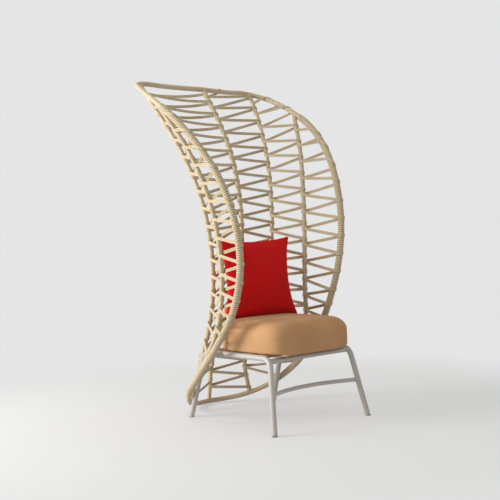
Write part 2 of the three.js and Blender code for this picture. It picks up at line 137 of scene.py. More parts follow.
print("helpers for curves are ready")

# %% [markdown]
# ## Round stock along a path
# Poles, tubes and cords are all round stock that follows a path. A curve object with a
# bevel makes such a thing too, but its surface can't easily remember how far along the
# stock it is, and grain and twist need that. So a flat grid is rolled up: its columns
# go round the stock and its rows along it, and its two long edges are welded. Each row
# is turned as little as possible from the last one, so the surface never twists.


# %% Frames that don't twist
def ring_frames(points, closed=False):
    count = len(points)
    if closed:
        ahead = [points[(i + 1) % count] - points[i - 1] for i in range(count)]
    else:
        ahead = [
            points[min(i + 1, count - 1)] - points[max(i - 1, 0)] for i in range(count)
        ]
    ahead = [v.normalized() for v in ahead]
    side = ahead[0].orthogonal().normalized()
    frames = []
    for i, tangent in enumerate(ahead):
        if i:
            side = ahead[i - 1].rotation_difference(tangent) @ side
        side = (side - tangent * side.dot(tangent)).normalized()
        frames.append((side.copy(), tangent.cross(side)))
    if closed:
        end = ahead[-1].rotation_difference(ahead[0]) @ frames[-1][0]
        first, across = frames[0]
        twist = -math.atan2(end.dot(across), end.dot(first))
        for i, tangent in enumerate(ahead):
            turn = Matrix.Rotation(twist * i / count, 3, tangent)
            frames[i] = (turn @ frames[i][0], turn @ frames[i][1])
    return frames


# %% A grid rolled into round stock
def new_stock():
    bm = bmesh.new()
    bm.verts.layers.float_vector.new("grain")
    bm.verts.layers.float.new("tone")
    return bm


def lay_stock(bm, points, radius, sides, closed=False, tone=0.0, frames=None):
    """Adds round stock. radius is one number or a function of the distance along it.
    Frames of its own may be shorter or longer than 1, which flattens the section."""
    grain = bm.verts.layers.float_vector["grain"]
    shade = bm.verts.layers.float["tone"]
    last = len(points) - 1
    grid = bmesh.ops.create_grid(bm, x_segments=sides, y_segments=last, size=1)["verts"]
    frames = frames or ring_frames(points, closed)
    marks = Path(points).marks
    turns = [
        (math.cos(2 * math.pi * k / sides), math.sin(2 * math.pi * k / sides))
        for k in range(sides + 1)
    ]
    rings = []
    for row, (point, (side, across), mark) in enumerate(zip(points, frames, marks)):
        wide = radius(mark) if callable(radius) else radius
        ring = grid[row * (sides + 1) : (row + 1) * (sides + 1)]
        for vert, (x, y) in zip(ring, turns):
            vert.co = point + (side * x + across * y) * wide
            vert[grain] = (x * wide, y * wide, mark)
            vert[shade] = tone
        rings.append(ring)
    bmesh.ops.weld_verts(bm, targetmap={ring[-1]: ring[0] for ring in rings})
    ends = rings[0][:-1], rings[-1][:-1]
    loops = [
        [bm.edges.get((end[k - 1], end[k])) for k in range(sides)] for end in ends
    ]
    if closed:
        bmesh.ops.bridge_loops(bm, edges=loops[0] + loops[1])
    else:
        for loop in loops:
            bmesh.ops.contextual_create(bm, geom=loop)
    return ends


# %% Finish a piece
def add_piece(name, bm, slot, finish, *nodes, sharp=None):
    bmesh.ops.recalc_face_normals(bm, faces=bm.faces)
    mesh = bpy.data.meshes.new(name)
    bm.to_mesh(mesh)
    bm.free()
    mesh.shade_smooth()
    if sharp:
        mesh.set_sharp_from_angle(angle=math.radians(sharp))
    mesh.materials.append(finish)
    piece = bpy.data.objects.new(name, mesh)
    bpy.context.scene.collection.objects.link(piece)
    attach(piece, "root")
    if nodes:
        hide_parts(*nodes)
    print(name, len(mesh.polygons), "faces")
    return piece


# %% [markdown]
# ## Finishes
# Every finish is built from nodes, so it has no picture files and no seams. A small
# helper adds a node and wires it, which keeps each recipe short enough to read. Colours
# are given as they look on a screen, from 0 to 255, and turned into the linear values
# that the shader wants.


# %% Node helpers
def screen(r, g, b):
    def linear(c):
        c /= 255
        return c / 12.92 if c <= 0.04045 else ((c + 0.055) / 1.055) ** 2.4

    return (linear(r), linear(g), linear(b), 1.0)


class Finish:
    def __init__(self, name, **sockets):
        self.material = bpy.data.materials.new(name)
        self.material.use_nodes = True
        self.tree = self.material.node_tree
        self.shader = self.tree.nodes["Principled BSDF"]
        for socket, value in sockets.items():
            self.shader.inputs[socket.replace("_", " ")].default_value = value

    def node(self, kind, inputs, **settings):
        node = self.tree.nodes.new(kind)
        for name, value in settings.items():
            setattr(node, name, value)
        for name, value in inputs.items():
            if isinstance(value, bpy.types.NodeSocket):
                self.tree.links.new(value, node.inputs[name])
            else:
                node.inputs[name].default_value = value
        return node

    def math(self, operation, *values):
        inputs = dict(enumerate(values))
        return self.node("ShaderNodeMath", inputs, operation=operation).outputs[0]

    def attribute(self, name):
        return self.node("ShaderNodeAttribute", {}, attribute_name=name)

    def coordinates(self):
        return self.node("ShaderNodeTexCoord", {}).outputs["Object"]

    def stretched(self, vector, x, y, z):
        mapping = self.node("ShaderNodeMapping", {"Vector": vector, "Scale": (x, y, z)})
        return mapping.outputs["Vector"]

    def noise(self, vector, scale, detail=3.0, roughness=0.5):
        inputs = {
            "Vector": vector,
            "Scale": scale,
            "Detail": detail,
            "Roughness": roughness,
        }
        return self.node("ShaderNodeTexNoise", inputs).outputs[0]

    def between(self, value, low, high):
        """The value from 0 at low to 1 at high."""
        inputs = {"Value": value, "From Min": low, "From Max": high}
        return self.node("ShaderNodeMapRange", inputs).outputs[0]

    def blend(self, factor, first, second):
        inputs = {0: factor, 6: first, 7: second}
        return self.node("ShaderNodeMix", inputs, data_type="RGBA").outputs[2]

    def colour(self, socket):
        self.tree.links.new(socket, self.shader.inputs["Base Color"])

    def rough(self, socket):
        self.tree.links.new(socket, self.shader.inputs["Roughness"])

    def bump(self, height, strength, depth, under=None):
        inputs = {"Height": height, "Strength": strength, "Distance": depth}
        if under:
            inputs["Normal"] = under
        normal = self.node("ShaderNodeBump", inputs).outputs[0]
        self.tree.links.new(normal, self.shader.inputs["Normal"])
        return normal


# %% [markdown]
# ### Powder coat
# The base is steel tube baked in a warm grey powder. Powder flows into a very fine
# orange peel, and its colour is even. Two scales of noise make it: one for the peel in
# the surface, and one, very weak, for the slightly uneven sheen.


# %% Powder coat
def make_powder_coat():
    coat = Finish("warm_grey_powder_coat", Roughness=0.42)
    place = coat.coordinates()
    cloud = coat.noise(place, 9, 2)
    coat.colour(coat.blend(cloud, screen(165, 159, 151), screen(175, 169, 161)))
    coat.rough(coat.between(coat.noise(place, 60), -0.8, 2.6))
    coat.bump(coat.noise(place, 1400, 1), 0.18, 0.0003)
    return coat.material


powder_coat = make_powder_coat()
print("made", powder_coat.name)

# %% [markdown]
# ### Cane
# Peeled cane has long fine fibres, a darker ring at each of its nodes and slow drifts
# of colour along the stem. The grain attribute holds each point's place round and along
# the stem, so squeezing its last number draws the noise out into fibres. The tone
# attribute marks the nodes.


# %% Cane
def make_cane():
    cane = Finish("peeled_cane", Roughness=0.5, Coat_Weight=0.12, Coat_Roughness=0.35)
    grain = cane.attribute("grain").outputs["Vector"]
    fibres = cane.noise(cane.stretched(grain, 1, 1, 0.02), 900, 4, 0.6)
    drift = cane.noise(cane.stretched(grain, 1, 1, 0.35), 9, 3)
    pale = cane.blend(drift, screen(176, 157, 126), screen(200, 183, 152))
    fibre = cane.between(fibres, 0.35, 0.7)
    body = cane.blend(cane.math("MULTIPLY", fibre, 0.45), pale, screen(156, 135, 103))
    knuckle = cane.attribute("tone").outputs["Fac"]
    ringed = cane.math("MULTIPLY", knuckle, 0.25)
    cane.colour(cane.blend(ringed, body, screen(132, 106, 74)))
    cane.rough(cane.between(fibres, -0.6, 1.7))
    cane.bump(fibres, 0.25, 0.0006)
    return cane.material


cane_finish = make_cane()
print("made", cane_finish.name)

# %% [markdown]
# ### Cord
# The cord is laid from strands of twisted paper or fibre. Its strands run round it like
# a screw's thread: the angle round the cord plus a share of the distance along it gives
# their phase, and a sine of that is high on a strand and low between two, where painted
# shade darkens it. Fine hair noise breaks the strands up. A colour drift from cord to
# cord keeps a band from looking like one strip. Where cord is wound turn against turn,
# painted shade darkens the groove between the turns.


# %% Cord
TWIST = 0.0045  # along the cord, from a strand to the next one
STRANDS_LAID = 3.0
WINDING = 0.002  # half the thickness of the flattened cord round the rim


def make_cord(name, flattened):
    cord = Finish(
        name,
        Roughness=0.85,
        Sheen_Weight=0.08,
        Sheen_Roughness=0.5,
        Specular_IOR_Level=0.3,
    )
    grain = cord.attribute("grain").outputs["Vector"]
    split = cord.node("ShaderNodeSeparateXYZ", {"Vector": grain})
    angle = cord.math("ARCTAN2", split.outputs["Y"], split.outputs["X"])
    along = cord.math("MULTIPLY", split.outputs["Z"], 2 * math.pi / TWIST)
    phase = cord.math("MULTIPLY_ADD", angle, STRANDS_LAID, along)
    strand = cord.math("MULTIPLY_ADD", cord.math("SINE", phase), 0.5, 0.5)
    hair = cord.noise(cord.stretched(grain, 1, 1, 0.3), 2600, 3)
    tone = cord.attribute("tone").outputs["Fac"]
    pale = cord.blend(tone, screen(210, 194, 164), screen(192, 175, 143))
    drift = cord.noise(cord.coordinates(), 14, 2)
    body = cord.blend(cord.math("MULTIPLY", drift, 0.5), pale, screen(182, 161, 126))
    # Painted shade: the cord is darker in the grooves between its strands.
    strand_groove_shade = cord.math("MULTIPLY", cord.between(strand, 0.55, 0.0), 0.35)
    groove_shaded = cord.blend(strand_groove_shade, body, screen(136, 114, 82))
    if flattened:
        # The grain's first number is high on a turn's back and low in the groove, which
        # gets painted shade.
        groove = cord.between(split.outputs["X"], WINDING * 0.9, WINDING * 0.2)
        shade = cord.math("MULTIPLY", groove, 0.9)
        groove_shaded = cord.blend(shade, groove_shaded, screen(96, 74, 48))
    cord.colour(groove_shaded)
    height = cord.math("MULTIPLY_ADD", hair, 0.3, strand)
    cord.bump(height, 0.6, 0.0006)
    return cord.material


cord_finish = make_cord("laid_cord", False)
winding_finish = make_cord("wound_cord", True)
print("made", cord_finish.name, "and", winding_finish.name)

# %% [markdown]
# ### Woven covers
# Both covers are plain weaves. Two sets of waves that cross at a right angle stand for
# warp and weft, and taking the higher of the two at each point makes them pass over and
# under. Painted shade darkens the gaps between the threads. The threads are under a
# millimetre wide, as on upholstery, so from a distance only a soft, matt cloth shows.


# %% Woven cloth
def make_cloth(name, dark, light, thread, sheen):
    cloth = Finish(
        name,
        Roughness=0.92,
        Sheen_Weight=sheen,
        Sheen_Roughness=0.4,
        Specular_IOR_Level=0.15,
    )
    place = cloth.coordinates()
    split = cloth.node("ShaderNodeSeparateXYZ", {"Vector": place})
    turns = 2 * math.pi / thread
    wobble = cloth.noise(place, 120, 2)
    waves = []
    for first, second in (("X", "Z"), ("Y", "Z")):
        total = cloth.math("ADD", split.outputs[first], split.outputs[second])
        bent = cloth.math("MULTIPLY_ADD", wobble, 0.0006, total)
        waves.append(cloth.math("SINE", cloth.math("MULTIPLY", bent, turns)))
    weave = cloth.math("MAXIMUM", *waves)
    slub = cloth.noise(cloth.stretched(place, 1, 1, 6), 90, 3)
    patch = cloth.noise(place, 7, 3)
    shade = cloth.math("MULTIPLY_ADD", slub, 0.35, cloth.math("MULTIPLY", patch, 0.65))
    body = cloth.blend(cloth.between(shade, 0.3, 0.7), screen(*dark), screen(*light))
    # Painted shade: the cloth is darker in the gaps between the threads.
    pores = cloth.math("MULTIPLY", cloth.between(weave, 0.2, -0.9), 0.35)
    gap_shade_colour = tuple(v * 0.6 for v in dark)
    cloth.colour(cloth.blend(pores, body, screen(*gap_shade_colour)))
    cloth.bump(weave, 0.35, 0.0004)
    return cloth.material


seat_cloth = make_cloth(
    "tan_seat_cloth", (176, 133, 93), (190, 147, 105), thread=0.0011, sheen=0.03
)
pillow_cloth = make_cloth(
    "red_pillow_cloth", (194, 16, 18), (209, 23, 23), thread=0.0009, sheen=0.01
)
print("made", seat_cloth.name, "and", pillow_cloth.name)

# %% [markdown]
# ### Slat wood and glide rubber
# The slats are straight-grained wood: noise drawn out along X gives the grain, and a
# second, coarser one its growth bands. The glides are plain rubber with a faint scuffed
# mottling.


# %% Wood and rubber
def make_slat_wood():
    wood = Finish("slat_wood", Roughness=0.5)
    place = wood.stretched(wood.coordinates(), 0.06, 1, 1)
    bands = wood.noise(place, 60, 4)
    pores = wood.noise(wood.stretched(wood.coordinates(), 0.02, 1, 1), 900, 2)
    body = wood.blend(bands, screen(160, 122, 82), screen(196, 160, 116))
    wood.colour(wood.blend(wood.between(pores, 0.62, 0.75), body, screen(120, 86, 52)))
    wood.bump(pores, 0.2, 0.0004)
    return wood.material


def make_glide_rubber():
    rubber = Finish("glide_rubber", Roughness=0.7)
    place = rubber.coordinates()
    mottle = rubber.noise(place, 160, 3)
    rubber.colour(rubber.blend(mottle, screen(148, 144, 138), screen(170, 166, 160)))
    rubber.bump(rubber.noise(place, 900), 0.2, 0.0004)
    return rubber.material


slat_wood = make_slat_wood()
glide_rubber = make_glide_rubber()
print("made", slat_wood.name, "and", glide_rubber.name)

# %% [markdown]
# ## The steel base
# Each side frame is one tube, bent twice: down the front leg, along under the seat and
# down the rear leg. The photograph shows soft bends, so straight runs are joined by
# short curves that touch them smoothly. It could be drawn as a cylinder for each run
# with elbows between, but one tube with no joints is how the real one is bent.

# %% Corners of a side frame
LEG_RADIUS = 0.013
BEND = 0.046  # how much of each straight a bend takes away
LEG_END = 0.0056  # how high the leg's middle line ends, just above the glide
FRONT_FOOT_X, REAR_FOOT_X, SEAT_TUBE_X = 296, 268, 250
FRONT_CORNER_Y, REAR_CORNER_Y, REAR_FEET_Y = 63, 540, 649  # behind the front feet
SEAT_TUBE_Z = 327


def frame_corners(hand):
    """Front foot, front corner, rear corner and rear foot of a side frame."""
    return [
        mm(hand * FRONT_FOOT_X, 0, 0),
        mm(hand * SEAT_TUBE_X, FRONT_CORNER_Y, SEAT_TUBE_Z),
        mm(hand * SEAT_TUBE_X, REAR_CORNER_Y, SEAT_TUBE_Z),
        mm(hand * REAR_FOOT_X, REAR_FEET_Y, 0),
    ]


def bend_ends(before, corner, after):
    return [corner + (p - corner).normalized() * BEND for p in (before, after)]


def bow(start, corner, end, steps):
    """Points of a soft bend from start to end, drawn toward the corner."""
    return [
        start * (1 - t) ** 2 + corner * 2 * t * (1 - t) + end * t**2
        for t in (k / steps for k in range(steps + 1))
    ]


# %% Side frames
side_paths = {}
for side, hand in SIDES.items():
    front_foot, front_corner, rear_corner, rear_foot = frame_corners(hand)
    front_bend = bend_ends(front_foot, front_corner, rear_corner)
    rear_bend = bend_ends(front_corner, rear_corner, rear_foot)
    points = [front_foot, *bow(front_bend[0], front_corner, front_bend[1], 16)]
    points += [*bow(rear_bend[0], rear_corner, rear_bend[1], 16), rear_foot]
    for end, inner in ((0, 1), (-1, -2)):
        slope = (points[inner] - points[end]).normalized()
        points[end] = points[end] + slope * (LEG_END / slope.z)
    side_paths[side] = Path(points)
    bm = new_stock()
    lay_stock(bm, side_paths[side].even(0.008), LEG_RADIUS, 32)
    name = f"side_frame_{side}"
    add_piece(f"bent_{name}", bm, "frame", powder_coat, name, sharp=50)

# %% [markdown]
# ## Rails and stretcher
# Two rails and a bowed stretcher join the side frames. On the real base their ends are
# cut to fit the tube they meet, and a thin weld runs round the joint. Booleans would
# cut them too, but they leave ragged faces. Here each point of the last ring slides
# along the rail until it touches the other tube, and a thin bead lies on that ring.


# %% Coped ends with a weld
COPE_REACH = 0.06  # no end is cut back further than this
COPE_HALVINGS = 18
BEAD = 0.0016  # half the thickness of a weld bead


def gap_to(point, path):
    """How far a point is from the middle line of a tube."""
    best = math.inf
    for p, q in zip(path.points, path.points[1:]):
        spot, part = intersect_point_line(point, p, q)
        spot = p if part < 0 else q if part > 1 else spot
        best = min(best, (point - spot).length)
    return best


def cope(verts, inward, path, radius):
    """Slides each point of an end along inward until it is on the other tube."""
    for vert in verts:
        near, far = 0.0, COPE_REACH
        for _ in range(COPE_HALVINGS):
            middle = (near + far) / 2
            if gap_to(vert.co + inward * middle, path) < radius:
                near = middle
            else:
                far = middle
        vert.co += inward * far


def weld_bead(bm, ring):
    """A closed bead on a ring, a little thick and thin as it was laid."""
    centre = sum((v.co for v in ring), Vector()) / len(ring)
    points = [v.co + (v.co - centre).normalized() * BEAD * 0.3 for v in ring]
    lay_stock(
        bm, points, lambda s: BEAD * (1 + 0.12 * math.sin(s * 1800)), 8, closed=True
    )


def coped_tube(points, radius, sides, start, end):
    """Round stock whose two ends are coped to the (path, radius) that they meet."""
    bm = new_stock()
    rings = lay_stock(bm, points, radius, sides)
    cope(rings[0], (points[1] - points[0]).normalized(), *start)
    cope(rings[1], (points[-2] - points[-1]).normalized(), *end)
    for ring in rings:
        weld_bead(bm, ring)
    return bm


# %% Rails
RAIL_RADIUS = 0.011
frame_tubes = {side: (path, LEG_RADIUS) for side, path in side_paths.items()}


def rail_points(first):
    """A line between the bends of both side frames that come after corner first."""
    ends = []
    for hand in SIDES.values():
        before, corner, after = frame_corners(hand)[first : first + 3]
        start, end = bend_ends(before, corner, after)
        ends.append((start + 2 * corner + end) / 4)
    return Path(ends).even(0.02)


for first, name in enumerate(("front_rail", "rear_rail")):
    bm = coped_tube(rail_points(first), RAIL_RADIUS, 32, *frame_tubes.values())
    add_piece(f"welded_{name}", bm, "frame", powder_coat, name, sharp=50)

# %% Stretcher
STRETCHER_RADIUS = 0.0095
STRETCHER_Z = 172
STRETCHER_LEAN = 0.132  # the bow's middle comes half as far back
ends = []
for hand in SIDES.values():
    foot, corner = frame_corners(hand)[:2]
    ends.append(foot.lerp(corner, STRETCHER_Z / SEAT_TUBE_Z))
middle = (ends[0] + ends[1]) / 2 + Vector((0, STRETCHER_LEAN, 0))
points = bow(ends[0], middle, ends[1], 48)
bm = coped_tube(points, STRETCHER_RADIUS, 28, *frame_tubes.values())
add_piece("bowed_stretcher", bm, "frame", powder_coat, "front_stretcher", sharp=50)

# %% [markdown]
# ## Feet
# Each leg ends in a low rubber glide with a rounded edge. A cylinder with a bevel on
# its rim is the plainest way to it, and a plug that goes up inside the tube is hidden,
# so it is left out.

# %% Glides
LEVEL = 1e-6  # ends of an edge nearer than this stand at the same place along an axis
GLIDE_HEIGHT = 5
FEET = {"front": (FRONT_FOOT_X, 0), "rear": (REAR_FOOT_X, REAR_FEET_Y)}


def span(edge, axis):
    return abs(edge.verts[0].co[axis] - edge.verts[1].co[axis])


def round_edges(bm, edges, offset):
    bmesh.ops.bevel(
        bm,
        geom=edges,
        offset=offset,
        offset_type="OFFSET",
        segments=3,
        profile=0.5,
        affect="EDGES",
        material=-1,
    )


for end, (x, y) in FEET.items():
    for side, hand in SIDES.items():
        bm = bmesh.new()
        bmesh.ops.create_cone(
            bm,
            cap_ends=True,
            segments=40,
            radius1=0.0135,
            radius2=0.0138,
            depth=GLIDE_HEIGHT / 1000,
        )
        place = mm(hand * x, y, GLIDE_HEIGHT / 2)
        bmesh.ops.translate(bm, verts=bm.verts, vec=place)
        round_edges(bm, [e for e in bm.edges if span(e, 2) < LEVEL], 0.001)
        name = f"glide_{end}_{side}"
        add_piece(f"round_{name}", bm, "glide", glide_rubber, f"foot_{name}", sharp=35)

# %% [markdown]
# ## Slats
# Five boards carry the cushion, level with the tops of the side tubes. They only show
# from below. Each is a cube scaled to a board, with its long edges rounded and its end
# points slid back to the tube, as the rails are.

# %% Slats
SLAT = (0.484, 0.045, 0.012)  # length, width and thickness of a board
FIRST_SLAT, SLAT_STEP, SLAT_HEIGHT = 120, 92.5, 334
for i in range(5):
    bm = bmesh.new()
    bmesh.ops.create_cube(bm, size=1)
    bmesh.ops.scale(bm, verts=bm.verts, vec=SLAT)
    place = mm(0, FIRST_SLAT + i * SLAT_STEP, SLAT_HEIGHT)
    bmesh.ops.translate(bm, verts=bm.verts, vec=place)
    across = [e for e in bm.edges if span(e, 0) < LEVEL]
    bmesh.ops.subdivide_edges(bm, edges=across, cuts=5, use_grid_fill=True)
    for side, hand in SIDES.items():
        end = [v for v in bm.verts if v.co.x * hand > SLAT[0] / 2 - 0.002]
        cope(end, Vector((-hand, 0, 0)), *frame_tubes[side])
    long_edges = [e for e in bm.edges if span(e, 0) > 0.3]
    corners = [e for e in long_edges if abs(e.calc_face_angle(0)) > 1]
    round_edges(bm, corners, 0.002)
    add_piece(
        f"seat_board_{i + 1}", bm, "slat", slat_wood, f"seat_slat_{i + 1}", sharp=35
    )

# %% [markdown]
# ## The cane shell
# One long pole makes the shell's rim, its two ends joined at the foot. Five ribs run
# down inside it from the top bar to the bottom bar. Their shapes are tables of places,
# as shares of the pod's half width, depth and height, read down the right side from the
# top.

# %% Shapes of the rim and ribs
RIM = [
    (0, 0.911, 0.9915),
    (0.257, 0.93, 0.992),
    (0.498, 0.973, 0.9957),
    (0.709, 1, 1),
    (0.866, 0.957, 0.9915),
    (0.957, 0.831, 0.968),
    (1, 0.644, 0.926),
    (0.995, 0.429, 0.864),
    (0.93, 0.232, 0.781),
    (0.836, 0.08, 0.678),
    (0.761, 0, 0.559),
    (0.709, 0.007, 0.4365),
    (0.695, 0.104, 0.319),
    (0.734, 0.266, 0.217),
    (0.739, 0.457, 0.1336),
    (0.684, 0.634, 0.0735),
    (0.545, 0.77, 0.0335),
    (0.36, 0.884, 0.0105),
    (0.182, 0.961, 0.002),
    (0, 0.996, 0),
]
SPINE = [
    (0, 0.765, 0.904),
    (0, 0.604, 0.7735),
    (0, 0.531, 0.643),
    (0, 0.526, 0.5125),
    (0, 0.622, 0.382),
    (0, 0.798, 0.2515),
    (0, 0.94, 0.121),
]
INNER = [
    (0.739, 0.833, 0.904),
    (0.618, 0.662, 0.7735),
    (0.514, 0.559, 0.643),
    (0.448, 0.526, 0.5125),
    (0.37, 0.577, 0.382),
    (0.311, 0.694, 0.2515),
    (0.34, 0.812, 0.121),
]
OUTER = [
    (0.818, 0.425, 0.7735),
    (0.693, 0.33, 0.643),
    (0.625, 0.289, 0.5125),
    (0.602, 0.289, 0.382),
    (0.65, 0.332, 0.2515),
]


POD_HALF_WIDTH, POD_DEPTH, POD_HEIGHT = 440, 699, 1647
POD_FRONT, POD_FOOT = 164, 16  # behind the front feet, and above the floor


def pod(row, hand=1):
    wide, back, up = row
    return mm(
        hand * wide * POD_HALF_WIDTH,
        POD_FRONT + back * POD_DEPTH,
        POD_FOOT + up * POD_HEIGHT,
    )


rim_points = [pod(row) for row in RIM] + [pod(row, -1) for row in RIM[-2:0:-1]]
ROWS = len(rim_points)


def rim_place(row, hand):
    """Where a row of the table is on the closed rim, counted down its right side."""
    return row if hand > 0 else ROWS - row


def rim_path(first, last, hand, steps=600):
    ends = rim_place(first, hand), rim_place(last, hand)
    return Path(spline(rim_points, *ends, steps, closed=True))


def rib_path(rows, top, foot, hand=1):
    """A rib through its rows, from the rim at one place to the rim at another."""
    start, end = (
        spline_at(rim_points, rim_place(place, hand), closed=True)
        for place in (top, foot)
    )
    points = [start, *(pod(row, hand) for row in rows), end]
    return Path(spline(points, 0, len(points) - 1, 600))


INNER_ENDS, OUTER_ENDS = (3.62, 16.6), (6.18, 14.1)  # the rim's rows that they meet
rib_paths = {"spine": rib_path(SPINE, 0, ROWS / 2)}
for side, hand in SIDES.items():
    rib_paths[f"inner_{side}"] = rib_path(INNER, *INNER_ENDS, hand)
    rib_paths[f"outer_{side}"] = rib_path(OUTER, *OUTER_ENDS, hand)
for name, path in rib_paths.items():
    print(name, "rib is", round(path.length, 3), "m long")

# %% [markdown]
# ## Bare cane
# A cane stem swells at each node, every 20 to 35 cm. On peeled and sanded cane the
# swell is almost gone. The same function gives what is left of it and, through the tone
# attribute, the faint ring in the finish.


# %% Knuckles of a cane
def knuckles(length, seed):
    """Distances along a pole at which it has a node, unevenly spaced."""
    places, at = [], 0.11 + 0.05 * (seed % 3)
    while at < length - 0.05:
        places.append(at)
        at += 0.27 + 0.06 * math.sin(seed * 2.1 + len(places) * 1.7)
    return places


def lay_cane(bm, points, radius, closed, seed):
    marks = Path(points).marks
    places = knuckles(marks[-1], seed)

    def swell(distance, width):
        return sum(math.exp(-(((distance - p) / width) ** 2)) for p in places)

    lay_stock(bm, points, lambda s: radius * (1 + 0.008 * swell(s, 0.006)), 24, closed)
    grain, tone = bm.verts.layers.float_vector["grain"], bm.verts.layers.float["tone"]
    for vert in bm.verts:
        vert[tone] = min(1.0, swell(vert[grain].z, 0.0035))


# %% Cane poles
RIM_RADIUS, RIB_RADIUS = 0.0125, 0.011
CANE_STEP = 0.005
RIB_INSET = 0.006  # how far short of the rim's middle line a rib ends
whole_rim = Path(spline(rim_points, ROWS / 2, ROWS / 2 + ROWS, 1800, closed=True))
bm = new_stock()
lay_cane(bm, whole_rim.even(CANE_STEP)[:-1], RIM_RADIUS, True, 1)
add_piece("cane_rim", bm, "cane", cane_finish, "rim_pole")

for seed, (name, path) in enumerate(rib_paths.items()):
    bm = new_stock()
    reach = path.length - RIB_INSET
    count = round(reach / CANE_STEP)
    points = [
        path.at(RIB_INSET + (reach - RIB_INSET) * i / count) for i in range(count + 1)
    ]
    lay_cane(bm, points, RIB_RADIUS, False, seed + 2)
    add_piece(f"cane_{name}_rib", bm, "cane", cane_finish, f"{name}_rib")

# %% [markdown]
# ## The wound rim
# Down both sides the rim is wound with cord, turn against turn, which also keeps the
# lacing from slipping. A striped material on a plain sleeve would pass from far off,
# but not at the edge, where each turn shows. So a real helix is laid round the rim, one
# turn per cord width. Pulled tight, the cord lies flattened, over twice as wide as it
# is thick.

# %% A helix round a path
PITCH = 0.0105
TURN_STEPS = 18


def helix(path, turns, radius):
    """Points on a helix round a path, and which way is out at each."""
    stations = path.even(0.003)
    frames = ring_frames(stations)
    spacing = path.length / (len(stations) - 1)
    points, outward = [], []
    for i in range(turns * TURN_STEPS + 1):
        distance = path.length * i / (turns * TURN_STEPS)
        row = min(int(distance / spacing), len(stations) - 2)
        part = distance / spacing - row
        first = frames[row][0].lerp(frames[row + 1][0], part)
        across = frames[row][1].lerp(frames[row + 1][1], part)
        angle = 2 * math.pi * i / TURN_STEPS
        out = (first * math.cos(angle) + across * math.sin(angle)).normalized()
        points.append(path.at(distance) + out * radius)
        outward.append(out)
    return points, outward


# %% Cord wound round the rim
FLATTENED = 2.6  # how much wider than thick the cord lies
WOUND = RIM_RADIUS + 2 * WINDING
WOUND_ROWS = (6.45, 15.3)  # the rim's rows between which it is wound
for side, hand in SIDES.items():
    path = rim_path(*WOUND_ROWS, hand, 1200)
    turns = int(path.length / PITCH)
    points, outward = helix(path, turns, RIM_RADIUS + WINDING)
    flat_frames = []
    for i, out in enumerate(outward):
        ahead = points[min(i + 1, len(points) - 1)] - points[max(i - 1, 0)]
        flat_frames.append((out, ahead.cross(out).normalized() * FLATTENED))
    bm = new_stock()
    lay_stock(bm, points, WINDING, 12, frames=flat_frames)
    add_piece(f"wound_rim_{side}", bm, "cord", winding_finish, f"rim_wrap_{side}")
    print(turns, "turns")

# %% [markdown]
# ## The lacing
# A band of three cords winds down round each pair of neighbouring poles: to the right
# in front of them, half round the right pole, back to the left behind them and half
# round the left pole. So front runs and back runs slope different ways, and that is the
# zigzag. The turns can't be spaced by a rule, because they were tied by hand, so each
# pole's turns are listed by height.

# %% Where a band turns
HOOK_STEPS = 8  # steps of the half turn round a pole
LACED_ROWS = (5.9, 14.4)  # the rim's rows between which bands turn round its sides
BAR_STEPS = 100  # steps of the rim's path from row to row


def height_station(path, height):
    """How far down a pole it passes a height."""
    for mark, p, q in zip(path.marks, path.points, path.points[1:]):
        if q.z <= height:
            return mark + (q - p).length * max(0.0, p.z - height) / (p.z - q.z)
    return path.length


def drop_round(name, height, left):
    """How much lower a turn ends than it starts, in millimetres, as the photo shows."""
    if name == "rim_left":
        return 17
    if name == "rim_right":
        return min(max((height - 1040) / 200 * 55, 3), 55)
    return 3 if left else 9


def pole_turn(name, height, left):
    """A turn round a pole: its path, its radius and the places of a cord on it."""
    if name.startswith("rim_"):
        path, radius = rim_path(*LACED_ROWS, SIDES[name[4:]]), WOUND
    else:
        path, radius = rib_paths[name], RIB_RADIUS
    drop = drop_round(name, height, left)

    def places(shift):
        heights = [
            (height + shift + drop * (0.5 - k / HOOK_STEPS)) / 1000
            for k in range(HOOK_STEPS + 1)
        ]
        return [(height_station(path, z), z) for z in heights]

    return path, radius, places


def bar_turn(first_row, last_row):
    """A turn round the rim at its top or foot, which drifts along it."""
    last = len(RIM) - 1
    path = rim_path(0, last, 1, last * BAR_STEPS)

    def places(shift):
        rows = [
            first_row + (last_row - first_row) * k / HOOK_STEPS
            for k in range(HOOK_STEPS + 1)
        ]
        marks = [path.marks[round(row * BAR_STEPS)] for row in rows]
        return [(mark - shift / 1000, None) for mark in marks]

    return path, RIM_RADIUS, places


# %% Cords round a pole
CORD = 0.0025  # half the thickness of a cord
PRESSED = 0.55  # how flat a cord lies where it is pressed on a pole
CLEAR = 0.0003  # between a cord and its pole
CORD_PLACES = (-5.2, 0, 5.2)  # millimetres from the middle of the band


def middle_of(turn):
    path, _, places = turn
    return path.at(places(0)[HOOK_STEPS // 2][0])


def hook(turn, shift, before, after):
    """The half turn of a cord round a pole: its points, and which way is out."""
    path, radius, places = turn
    centre = middle_of(turn)
    up = -path.direction(places(0)[HOOK_STEPS // 2][0])
    away = centre - (before + after) / 2
    away = (away - up * away.dot(up)).normalized()
    first = away.cross(up)
    points, outs = [], []
    for k, (station, height) in enumerate(places(shift)):
        angle = math.pi * k / HOOK_STEPS
        out = first * math.cos(angle) + away * math.sin(angle)
        point = path.at(station) + out * (radius + CORD * PRESSED + CLEAR)
        if height is not None:
            point += up * ((height - point.z) / up.z)
        points.append(point)
        outs.append(out)
    return points, outs


def flattened_frames(route, outs, presses):
    """Frames that lay a cord flat against each pole and leave it round between."""
    frames = []
    for i, (out, press) in enumerate(zip(outs, presses)):
        ahead = route[min(i + 1, len(route) - 1)] - route[max(i - 1, 0)]
        ahead.normalize()
        flat = (out - ahead * out.dot(ahead)).normalized()
        thick = 1 - (1 - PRESSED) * press
        frames.append((flat * thick, ahead.cross(flat) * (1 + 0.06 * press)))
    return frames


# %% A band of cords from turn to turn
RUN_STEPS = 8  # steps of the run between two poles


